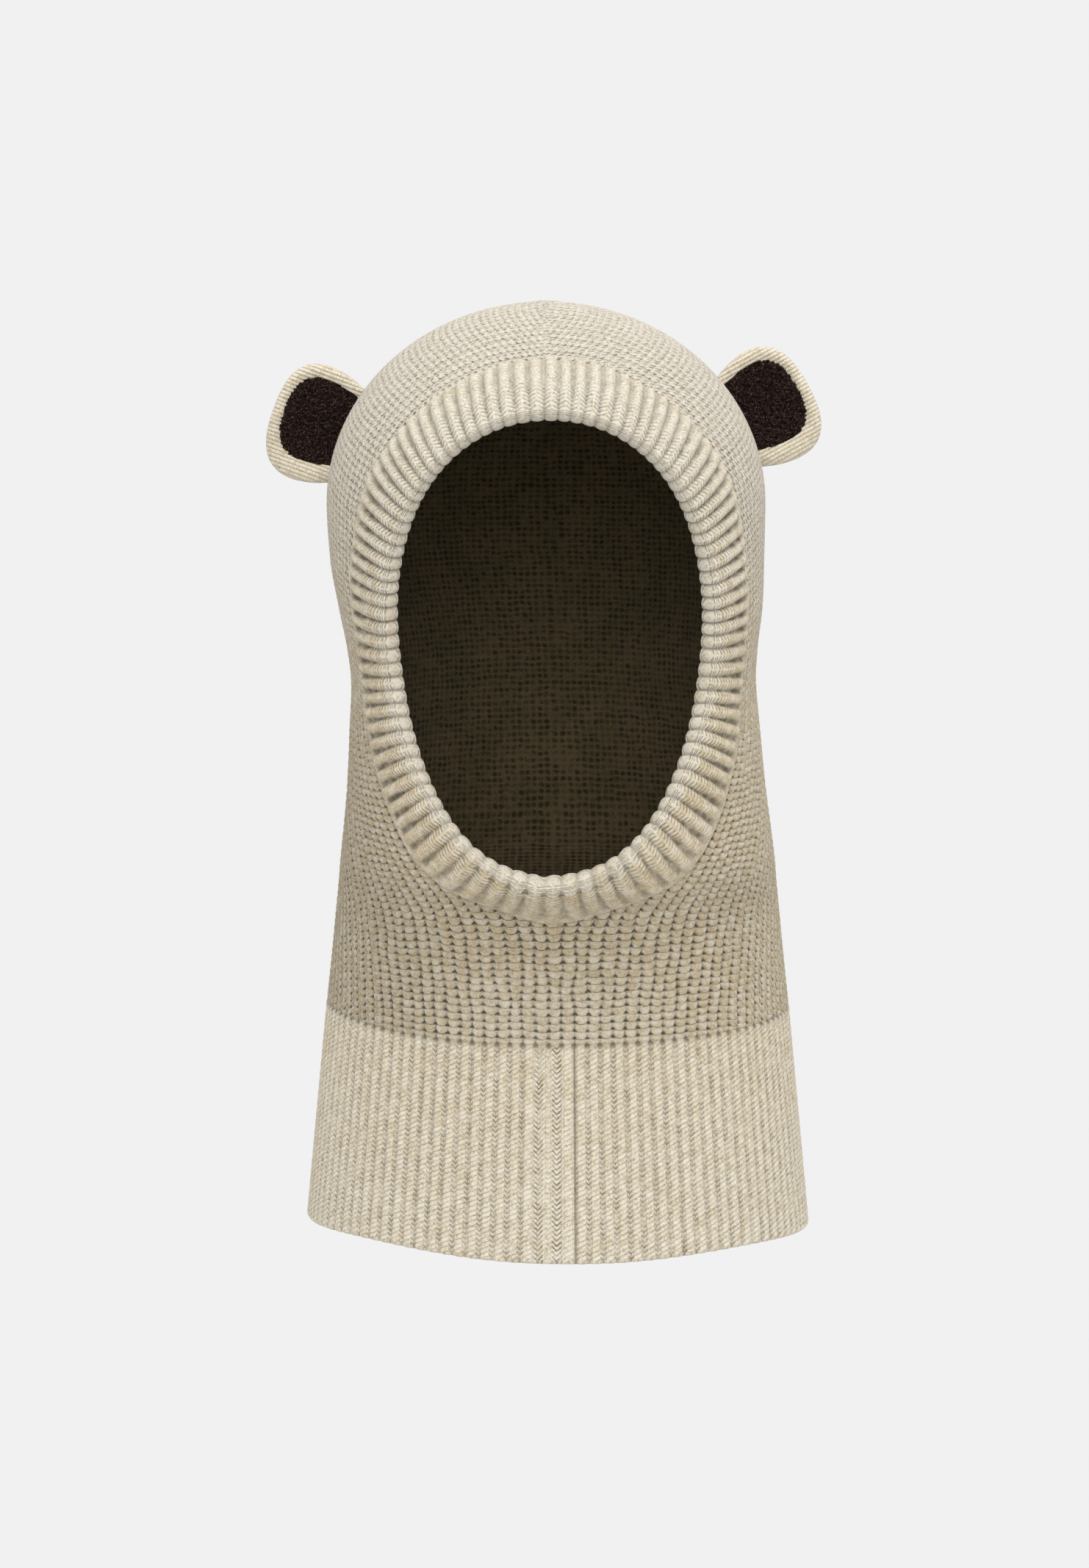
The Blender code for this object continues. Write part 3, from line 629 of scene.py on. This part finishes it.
def make_ear(row, knit, boucle):
    """A padded ear and its dark patch, each a disc of rings between the outline and the middle."""
    name, side, drop, tilt = row
    root, outward, upward, forward = ear_place(side, drop, tilt)
    turns = np.linspace(0, 2 * math.pi, 241)[:-1]
    edge_out, edge_up = ear_outline(turns, EAR_WIDTH / 2, EAR_REACH)
    patch_out, patch_up = ear_outline(turns, PATCH_WIDTH / 2, PATCH_REACH)
    half = EAR_THICKNESS / 2

    def place(out, up, ahead, grain):
        """Points on a shallow cup, held inside the hood's wall, and their UVs."""
        reach = np.hypot((out - EAR_SHOULDER) / (EAR_REACH - EAR_SHOULDER), up / (EAR_WIDTH / 2))
        ahead = ahead - EAR_SETBACK + EAR_CUP * np.clip(reach, 0, 1) ** 2
        points = root + out[..., None] * outward + up[..., None] * upward
        points = points + ahead[..., None] * forward
        uv = np.stack([up, out], -1) / grain
        return within_wall(points, side), np.concatenate([uv, uv[:, :1]], axis=1)

    # the knit in front: from under the patch's edge over the rim
    rim = np.linspace(0, 1, 15)[:, None]
    inset = 0.96
    front_out = patch_out * inset + (edge_out - patch_out * inset) * rim
    front_up = PATCH_RAISE * (1 - rim) + patch_up * inset + (edge_up - patch_up * inset) * rim
    front_ahead = half * (1 - rim**4) ** 0.5 - 0.0006 * (1 - rim) ** 6
    front_ahead = front_ahead + 0.0004 * np.sin(math.pi * rim)
    # the knit behind: from the rim to the middle
    size = np.linspace(1, 0, 22)[1:, None]
    back_ahead = -half * (1 - size**4) ** 0.5
    out = np.concatenate([front_out, EAR_SHOULDER + (edge_out - EAR_SHOULDER) * size])
    up = np.concatenate([front_up, edge_up * size])
    ahead = np.concatenate([front_ahead, back_ahead]) * np.ones_like(edge_out)
    lines = 0.00022 * np.cos(2 * math.pi * up / EAR_LINE)
    lines = lines * np.sign(ahead) * ease(np.abs(ahead), 0, 0.0012)
    points, uv = place(out, up, ahead + lines, EAR_LINE)
    ear = name.replace("ear_", "ear_knit_")
    obj = grid_mesh(ear, points, uv, wrap_columns=True, flip=side > 0)
    dress(obj, knit, "beige_knit", name)

    # the patch: a low cushion with a curly, crumbly face, whose last ring sinks into the ear
    size = np.concatenate([[0.0], np.linspace(0.03, 0.97, 46), [1.0, 1.0]])[:, None]
    sink = np.concatenate([np.zeros(48), [1.0]])[:, None]
    out = EAR_SHOULDER + (patch_out - EAR_SHOULDER) * size
    up = PATCH_RAISE + patch_up * size
    curl = 0.0008
    crumbs = crumble(out / curl, up / curl, 7 if side > 0 else 11) * (1 - ease(size, 0.93, 0.985))
    swell = 0.0007 * (1 - size**6) ** 0.5
    ahead = half - 0.0006 + swell + 0.0007 * crumbs * (1 - sink) - sink * 0.0016
    points, uv = place(out, up, ahead, PATCH_GRAIN)
    patch = name.replace("ear_", "ear_boucle_")
    obj = grid_mesh(patch, points, uv, wrap_columns=True, flip=side < 0)
    dress(obj, boucle, "dark_brown_boucle", name + "_patch")


def crumble(x, y, seed):
    """Curly relief: a sum of slanted sine waves, each bent by another one. From about -1 to 1."""
    rng = np.random.default_rng(seed)
    total = np.zeros(np.broadcast(x, y).shape)
    for _ in range(10):
        tilt, bend = rng.uniform(0, 2 * math.pi, 2)
        pace = rng.uniform(1.2, 3.2)
        across, along = x * np.cos(tilt) + y * np.sin(tilt), y * np.cos(tilt) - x * np.sin(tilt)
        total += np.sin(pace * across + 1.6 * np.sin(0.9 * pace * along + bend)) / 3.4
    return total


# ---------- materials
WOOL_ROUGHNESS, WOOL_SHEEN = 0.92, 0.25
CREAM, SAND, TAN = (0.82, 0.76, 0.635), (0.65, 0.535, 0.345), (0.38, 0.29, 0.165)
SHADE = (0.088, 0.062, 0.027)
# the inside's painted shade: dark olive-brown, with paler flecks and deeper painted shade in its
# holes
INSIDE_SHADE_OLIVE, INSIDE_SHADE_BROWN = (0.076, 0.060, 0.028), (0.093, 0.068, 0.034)
INSIDE_SHADE_FLECK, INSIDE_HOLE_SHADE = (0.16, 0.125, 0.068), (0.014, 0.010, 0.0045)
CURL_SHADE, CURL = (0.0028, 0.0011, 0.0009), (0.022, 0.0090, 0.0070)
CURL_TIP = (0.220, 0.130, 0.098)


class Field:
    """A number worked out by a material's Math nodes, so that a pattern reads as its formula."""

    def __init__(self, tree, socket):
        self.tree, self.socket = tree, socket

    def join(self, operation, *others):
        """This number and any others put through a Math node."""
        node = self.tree.nodes.new("ShaderNodeMath")
        node.operation = operation
        for place, value in zip(node.inputs, (self,) + others):
            if isinstance(value, Field):
                self.tree.links.new(value.socket, place)
            else:
                place.default_value = value
        return Field(self.tree, node.outputs[0])

    __add__, __sub__ = partialmethod(join, "ADD"), partialmethod(join, "SUBTRACT")
    __mul__, __truediv__ = partialmethod(join, "MULTIPLY"), partialmethod(join, "DIVIDE")
    __pow__, sin = partialmethod(join, "POWER"), partialmethod(join, "SINE")
    abs, fract = partialmethod(join, "ABSOLUTE"), partialmethod(join, "FRACT")
    least, most = partialmethod(join, "MINIMUM"), partialmethod(join, "MAXIMUM")
    nearest = partialmethod(join, "ROUND")

    def __rsub__(self, other):
        return (self * -1) + other

    def from_nearest(self):
        """The distance from the nearest whole number, with its sign."""
        return self - self.nearest()

    def zigzag(self):
        """1 at each whole number and 0 halfway between."""
        return (self.fract() * 2 - 1).abs()

    def held(self, high):
        """Held between 0 and high."""
        return self.most(0.0).least(high)

    def ease(self, low, high, start=0.0, end=1.0):
        """A smooth S from start at low to end at high."""
        node = self.tree.nodes.new("ShaderNodeMapRange")
        node.interpolation_type = "SMOOTHSTEP"
        self.tree.links.new(self.socket, node.inputs["Value"])
        for key, value in (("From Min", low), ("From Max", high), ("To Min", start),
                           ("To Max", end)):
            node.inputs[key].default_value = value
        return Field(self.tree, node.outputs["Result"])

    def fall(self, low, high):
        """A smooth S from 1 at low to 0 at high."""
        return self.ease(low, high, 1.0, 0.0)


class Cloth:
    """A cloth material: its coordinates, noises and final shader."""

    def __init__(self, name, roughness=WOOL_ROUGHNESS, sheen=WOOL_SHEEN):
        self.material = bpy.data.materials.new(name)
        self.material.use_nodes = True
        self.tree = self.material.node_tree
        self.shader = self.tree.nodes["Principled BSDF"]
        for key, value in (("Roughness", roughness), ("Sheen Weight", sheen),
                           ("Sheen Roughness", 0.5), ("Specular IOR Level", 0.15)):
            self.shader.inputs[key].default_value = value
        uv = self.tree.nodes.new("ShaderNodeUVMap")
        uv.uv_map = "stitches"
        self.u, self.v, _ = self.parts_of(uv.outputs["UV"])
        self.place = self.tree.nodes.new("ShaderNodeTexCoord").outputs["Object"]
        self.x, _, self.z = self.parts_of(self.place)

    def parts_of(self, vector):
        """The three numbers of a vector."""
        node = self.tree.nodes.new("ShaderNodeSeparateXYZ")
        self.tree.links.new(vector, node.inputs[0])
        return [Field(self.tree, output) for output in node.outputs]

    def noise(self, scale, detail=2.0, roughness=0.5):
        """Noise about 0.5, with scale waves in a metre."""
        node = self.tree.nodes.new("ShaderNodeTexNoise")
        for key, value in (("Scale", scale), ("Detail", detail), ("Roughness", roughness)):
            node.inputs[key].default_value = value
        self.tree.links.new(self.place, node.inputs["Vector"])
        return Field(self.tree, node.outputs["Fac"])

    def fibres(self):
        """The finest noise of the wool."""
        return self.noise(2600, 3, 0.65)

    def uneven(self, low, high):
        """A factor from low to high that changes every few millimetres."""
        return self.noise(330).ease(0.3, 0.7, low, high)

    def random_of(self, column, row=None):
        """A random number from 0 to 1 for each pair of whole parts."""
        pair = self.tree.nodes.new("ShaderNodeCombineXYZ")
        self.tree.links.new(column.join("FLOOR").socket, pair.inputs[0])
        if row:
            self.tree.links.new(row.join("FLOOR").socket, pair.inputs[1])
        node = self.tree.nodes.new("ShaderNodeTexWhiteNoise")
        self.tree.links.new(pair.outputs[0], node.inputs["Vector"])
        return Field(self.tree, node.outputs["Value"])

    def mix(self, amount, first, second):
        """A colour between two colours or sockets."""
        node = self.tree.nodes.new("ShaderNodeMix")
        node.data_type = "RGBA"
        self.tree.links.new(amount.socket, node.inputs["Factor"])
        # its inputs 6 and 7 and its output 2 are the ones for colours
        for place, value in ((node.inputs[6], first), (node.inputs[7], second)):
            if isinstance(value, tuple):
                place.default_value = (*value, 1.0)
            else:
                self.tree.links.new(value, place)
        return node.outputs[2]

    def finish(self, colour, height, distance):
        """Joins the colour and the bump height to the shader."""
        self.tree.links.new(colour, self.shader.inputs["Base Color"])
        bump = self.tree.nodes.new("ShaderNodeBump")
        bump.inputs["Strength"].default_value = 1.0
        bump.inputs["Distance"].default_value = distance
        self.tree.links.new(height.socket, bump.inputs["Height"])
        self.tree.links.new(bump.outputs["Normal"], self.shader.inputs["Normal"])
        return self.material


def wool_colour(cloth, painted_shade, pale):
    """Melange wool: cream to sand by pale, flecked by fine noise, with painted brown shade in the
    creases.
    """
    flecks = (cloth.noise(1150, 4, 0.75) - 0.5) * 4.2 + 0.16
    patches = (cloth.noise(420) - 0.5) * 2.6 + 0.2
    base = cloth.mix(pale.held(1.0), SAND, CREAM)
    mottled = cloth.mix(flecks.held(0.8), base, TAN)
    light = cloth.mix(patches.held(0.6), mottled, CREAM)
    return cloth.mix(painted_shade.held(0.92), light, SHADE)


def hood_wool():
    """The neck and crown's knit in painted shade: U-shaped stitches in columns, as short dashes on
    the crown.
    """
    cloth = Cloth("hood_wool")
    a = cloth.u.from_nearest()
    edge = (a * 2).abs()
    shifted = cloth.u.abs().ease(STAGGER_FROM, STAGGER_TO)
    shifted = shifted.most(cloth.v.ease(STAGGER_LOW, STAGGER_HIGH))
    shift = (cloth.u.nearest() * 0.5).fract() * shifted * (2 * STAGGER)
    stray = (cloth.noise(150) - 0.5) * 0.35
    smile = cloth.v + shift + stray - (a * 2) ** 2.0 * SMILE
    b = smile.fract()
    # painted shade of a stitch: between columns, at its foot and its corners, and a tick in its
    # middle
    groove = edge.ease(0.76, 1.0)
    foot = b.fall(0.0, 0.18).most(b.ease(0.92, 1.0))
    corner = edge.ease(0.46, 0.90) * b.fall(0.0, 0.34).most(b.ease(0.78, 1.0))
    slanted = a + (b - 0.5) * 0.22
    tick = slanted.abs().fall(0.06, 0.16) * b.ease(0.16, 0.34) * b.fall(0.66, 0.88)
    strands = ((smile + a.abs() * 1.1) * (2 * math.pi * 4)).sin()
    low = cloth.z.fall(-0.17, -0.07) * (1 - shifted * 0.7)
    lines = cloth.random_of(cloth.u) * 0.36 + 0.10
    plain = (groove * lines).most(foot * 0.46).most(corner * 1.3) * low
    dashed = (corner * 0.80).most(groove * 0.32).most(tick * 0.68) * (1 - low)
    # painted shadow on the neck under the face band, and painted shade to both sides of the middle
    under = cloth.z.ease(-0.212, -0.196) * cloth.z.fall(-0.18, -0.15)
    under = cloth.x.abs().fall(0.005, 0.05) * under
    sides = cloth.u.ease(-14, -5, 0.17, 0.0) + cloth.u.ease(5, 14, 0.0, 0.06)
    painted_shade = (plain * (under * 0.4 + 1.06) + dashed) * cloth.uneven(0.45, 1.30)
    # less painted shade towards the crown's top, where the light from above falls
    painted_shade = painted_shade * cloth.z.ease(-0.07, 0.0, 1.08, 0.80) + strands * 0.06 + under * 0.10
    painted_shade = painted_shade + sides * cloth.z.fall(-0.16, -0.10)
    tone = (cloth.random_of(cloth.u + 0.5, smile) - 0.5) * 0.20
    # painted light on the lower middle of the neck's front; pale also grows upwards to the crown as
    # painted light from above
    lit = cloth.x.abs().ease(0.01, 0.06, 0.34, 0.0) * cloth.z.ease(-0.205, -0.225)
    pale = cloth.z.ease(-0.15, -0.01) * 1.2 + tone + lit
    height = (b * math.pi).sin() * 0.5 - groove * 0.5 + strands * 0.14 + cloth.fibres() * 1.3
    height = height - corner * 0.8 - tick * (1 - low) * 0.8
    return cloth.finish(wool_colour(cloth, painted_shade, pale), height, 0.0006)


def band_wool():
    """The face band's rib: dark grooves, rows of V stitches and holes in painted shade, bright
    knobs at the lip as painted highlight.
    """
    cloth = Cloth("band_wool")
    a = cloth.u.from_nearest()
    edge = (a * 2).abs()
    across = cloth.v / BAND_ROWS
    # zones: the band's bottom and top, and from the lip outwards
    low, top = cloth.z.fall(-0.190, -0.150), cloth.z.ease(-0.075, -0.025)
    lip, inner, outer = across.fall(0.06, 0.17), across.fall(0.34, 0.52), across.ease(0.30, 0.55)
    start = across.ease(0.02, 0.36)
    body = (start + (1 - start) * (0.45 - low * 0.3)) * across.fall(0.76, 0.95).most(top * 0.7)
    groove = edge.ease(0.60, 1.0) * (1 - outer) + edge.ease(0.38, 0.86) * outer
    run = cloth.v + across.ease(0.0, LIP_ROLL, -LIP_ROWS, 0.0) + a.abs() * V_SLANT
    row = run.zigzag()
    dashes = row.ease(0.50, 0.95) * edge.ease(0.02, 0.30) * (inner * 0.5 + 0.5)
    dots = edge.ease(0.60, 0.92) * row.ease(0.25, 0.75) * inner * across.ease(0.03, 0.08)
    hole = edge.ease(0.50, 0.80) * across.ease(0.085, 0.12) * across.fall(0.15, 0.19)
    # painted shade in the grooves, dashes, dots and holes, weaker at the band's top and bottom
    painted_shade = groove * body * (0.82 - low * 0.42 - top * 0.50)
    painted_shade = painted_shade.most(dashes * 0.54 * (1 - low * 0.6 - top * 0.6))
    painted_shade = painted_shade.most(dots * (0.76 - top * 0.30 - low * 0.2)).most(hole * low * 0.95)
    painted_shade = painted_shade * cloth.uneven(0.55, 1.2)
    tone = (cloth.random_of(cloth.u + 0.5, run) - 0.5) * 0.6
    # paler upwards as painted light from above, and on the lip as a painted highlight
    pale = cloth.z.ease(-0.14, -0.01) * across.ease(0.25, 0.95, 1.15, 0.75)
    pale = pale.most(lip * 0.74) + tone
    height = (1 - groove) * body * 0.6 - dashes * 0.9 + cloth.fibres() * 1.4 - hole * low
    return cloth.finish(wool_colour(cloth, painted_shade, pale), height, 0.0005)


def hem_wool():
    """The hem's rib: pale strings of beads, and grooves filled with slanting V stitches in painted
    shade.
    """
    cloth = Cloth("hem_wool")
    a = cloth.u.from_nearest()
    beside = (a.abs() - 0.5).abs()
    left, right = MIDDLE
    middle = cloth.u.ease(left - 0.1, left + 0.05) * cloth.u.fall(right - 0.05, right + 0.05)
    # the ribs' painted shade: V stitches between the beads, a line in each groove and strands on
    # the beads
    zone = beside.fall(0.14, 0.25)
    slant = (cloth.v + beside * 3.2).zigzag().ease(0.25, 0.85)
    line = beside.fall(0.02, 0.10) * (cloth.random_of(cloth.u) * 0.34 + 0.12)
    strand = (cloth.v + a * 1.2).zigzag().ease(0.55, 1.0)
    ribbed = (zone * (slant * 0.52 + 0.02)).most(line).most(strand * (1 - zone) * 0.28)
    # the middle: two chains of V stitches in painted shade, and a darker seam
    chained = (cloth.u - CHAINS[0]).abs().least((cloth.u - CHAINS[1]).abs())
    chevron = (cloth.v + chained * 2.8).zigzag().ease(0.40, 0.90)
    chains = chevron * chained.fall(0.30, 0.44) * 0.66
    seam = (cloth.u - 1.5).abs().fall(0.05, 0.15)
    # painted shadow along the seam with the neck, deeper between the columns
    seam_shadow = a.abs().ease(0.20, 0.42, 0.34, 1.0) * cloth.v.fall(0.2, 1.5)
    painted_shade = (ribbed * (1 - middle)).most(chains * middle).most(strand * middle * 0.20)
    painted_shade = (painted_shade * cloth.uneven(0.45, 1.30)).most(seam * 0.62).most(seam_shadow * 0.85)
    tone = (cloth.random_of(cloth.u + 0.5, cloth.v / 2 + a * 0.2) - 0.5) * 0.25
    # paler towards the bottom as painted light, paler in the middle columns, and each stitch's own
    # tone
    pale = cloth.z.ease(-0.30, -0.23, 0.64, 0.46) + middle * 0.08 + tone
    height = (1 - zone) * (1 - strand * 0.8) * 0.8 - zone * slant * 0.6
    height = height + cloth.fibres() * 1.3 - chains * middle * 0.7
    return cloth.finish(wool_colour(cloth, painted_shade, pale), height, 0.0004)


def ear_wool():
    """The ear's fine rib, in lines that run out from the head, with painted shade in its grooves
    and rows.
    """
    cloth = Cloth("ear_wool")
    groove = (cloth.u.from_nearest() * 2).abs().ease(0.45, 1.0)
    rows = (cloth.v * math.pi * 1.2).sin().abs().fall(0.0, 0.4)
    painted_shade = (groove * 0.34).most(rows * 0.14)
    pale = cloth.z.ease(-0.2, -0.19, 0.55, 0.6)
    height = (1 - groove) * 0.6 - rows * 0.2 + cloth.fibres() * 0.9
    return cloth.finish(wool_colour(cloth, painted_shade, pale), height, 0.0004)


def painted_shade_lining():
    """Painted shade of the inside, as dark olive knit: an uneven grid of darker holes between
    rounded stitches.
    """
    cloth = Cloth("painted_shade_inside", 0.95, 0.03)
    sway, sag = ((cloth.noise(scale) - 0.5) * 0.9 for scale in (140, 190))
    a, b = (cloth.u + sway).from_nearest(), (cloth.v + sag).from_nearest()
    strength = cloth.noise(360).ease(0.32, 0.66, 0.25, 1.0)
    hole = (a**2.0 * 8 + b**2.0 * 11).fall(0.0, 2.2) * strength
    fibres = cloth.noise(1500, 3, 0.6)
    colour = cloth.mix(cloth.noise(75).ease(0.38, 0.62), INSIDE_SHADE_OLIVE, INSIDE_SHADE_BROWN)
    flecked = cloth.mix(((fibres - 0.52) * 2.2).held(0.6), colour, INSIDE_SHADE_FLECK)
    # the holes in deeper painted shade
    dark = cloth.mix(hole * 0.85, flecked, INSIDE_HOLE_SHADE)
    return cloth.finish(dark, fibres * 0.8 - hole, 0.0006)


def dark_boucle():
    """Near-black brown boucle: curls with paler tips."""
    cloth = Cloth("brown_boucle", 0.95, 0.0)
    curls = cloth.noise(1300, 4, 0.7)
    tips = cloth.noise(2300, 3, 0.65)
    colour = cloth.mix(((curls - 0.45) * 5).held(1.0), CURL_SHADE, CURL)
    flecked = cloth.mix(((tips - 0.56) * 9).held(1.0), colour, CURL_TIP)
    return cloth.finish(flecked, curls + tips * 0.5, 0.0006)


# ---------- stage, light and camera
PALE_GREY = (0.878, 0.878, 0.878, 1)
FLOOR_HEIGHT = -1.1
CAMERA_PLACE = (-0.0005, -1.25, -0.024)
CAMERA_DIP = 6.0  # degrees that the camera looks down
FOCAL_SHARE = 5107 / 2134  # focal length as a share of the picture's height


def make_stage():
    """A plain pale floor a good way below the hood, as it hangs free of it in the photograph."""
    bpy.ops.mesh.primitive_plane_add(size=40, location=(0, 0, FLOOR_HEIGHT))
    floor = bpy.context.object
    floor.name = "floor"
    material = bpy.data.materials.new("pale_floor")
    material.use_nodes = True
    nodes = material.node_tree.nodes
    nodes.remove(nodes["Principled BSDF"])
    glow = nodes.new("ShaderNodeEmission")
    glow.inputs["Color"].default_value = PALE_GREY
    material.node_tree.links.new(glow.outputs[0], nodes["Material Output"].inputs["Surface"])
    floor.data.materials.append(material)


def area_light(name, place, target, size, power):
    """A soft square light that looks at a point."""
    data = bpy.data.lights.new(name, "AREA")
    data.size, data.energy = size, power
    light = bpy.data.objects.new(name, data)
    bpy.context.scene.collection.objects.link(light)
    light.location = place
    direction = Vector(np.subtract(target, place))
    light.rotation_euler = direction.to_track_quat("-Z", "Y").to_euler()


def make_light():
    """A pale studio round the hood, a soft light above it and one in front."""
    world = bpy.data.worlds.new("studio")
    bpy.context.scene.world = world
    world.use_nodes = True
    background = world.node_tree.nodes["Background"]
    background.inputs["Color"].default_value = PALE_GREY
    background.inputs["Strength"].default_value = 1.0
    area_light("top_softbox", (0.22, -0.35, 1.13), (0, -0.02, -0.12), 1.0, 9.7)
    area_light("front_softbox", (0.0, -1.7, 0.45), (0, 0, -0.15), 1.1, 13.0)


def make_camera():
    """A camera at the photograph's angle and distance."""
    data = bpy.data.cameras.new("camera")
    data.sensor_width = 36.0
    data.lens = data.sensor_width * FOCAL_SHARE
    camera = bpy.data.objects.new("camera", data)
    bpy.context.scene.collection.objects.link(camera)
    camera.location = CAMERA_PLACE
    camera.rotation_euler = (math.radians(90 - CAMERA_DIP), 0, 0)
    data.clip_start, data.clip_end = 0.05, 60
    bpy.context.scene.camera = camera


knit = hood_wool()
make_neck("neck_knit_front", -PIECE_SPLIT, PIECE_SPLIT, knit)
make_neck("neck_knit_back", PIECE_SPLIT, COLUMNS - PIECE_SPLIT, knit)
make_crown("crown_knit_left", 1, knit)
make_crown("crown_knit_right", -1, knit)
make_band(band_wool())
make_hem(hem_wool())
make_lining(painted_shade_lining())
ear_knit, ear_boucle = ear_wool(), dark_boucle()
for ear in EARS:
    make_ear(ear, ear_knit, ear_boucle)
make_stage()
make_light()
make_camera()
bpy.context.scene.view_settings.view_transform = "Standard"
